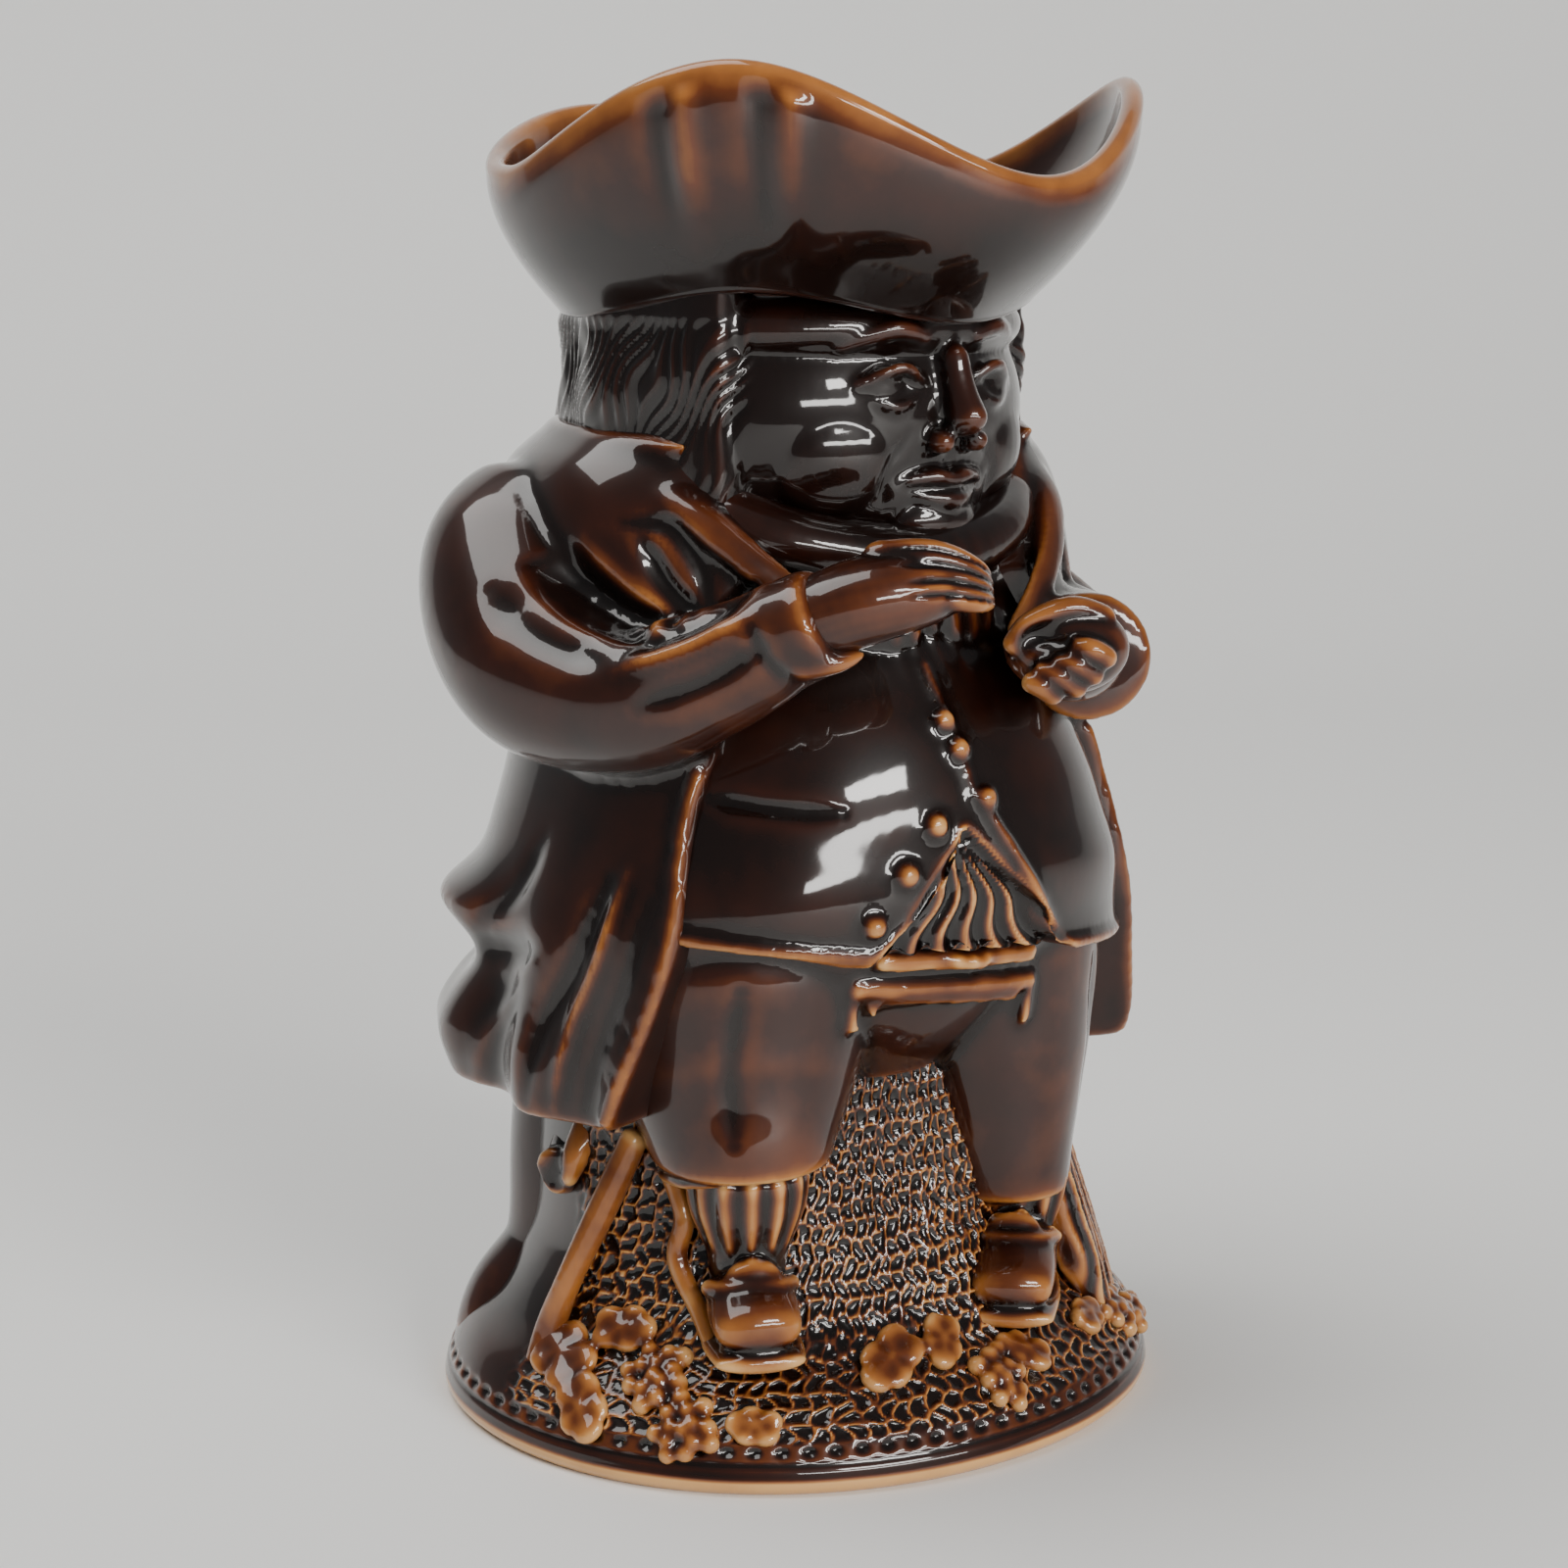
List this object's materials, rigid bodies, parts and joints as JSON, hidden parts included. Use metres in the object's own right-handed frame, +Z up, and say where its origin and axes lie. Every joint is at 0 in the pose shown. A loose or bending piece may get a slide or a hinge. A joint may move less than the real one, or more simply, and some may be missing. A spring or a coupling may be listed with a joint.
{
  "type": "toby jug",
  "caption": "Hollow glazed pottery jug shaped as a stout standing man in a cocked hat taking snuff; the hat's rim pours and a loop handle is at the back.",
  "frame": {"origin": "on the table under the middle of the oval base", "axes": "+Z up, -Y the way the man faces, +X his left"},
  "size_m": [0.1377, 0.1565, 0.238],
  "materials": {
    "brown_glaze": "glossy treacle-brown glaze, near black where it pools and amber on the edges"
  },
  "bodies": {
    "root": {"toby_jug": "brown_glaze"}
  },
  "joints": []
}
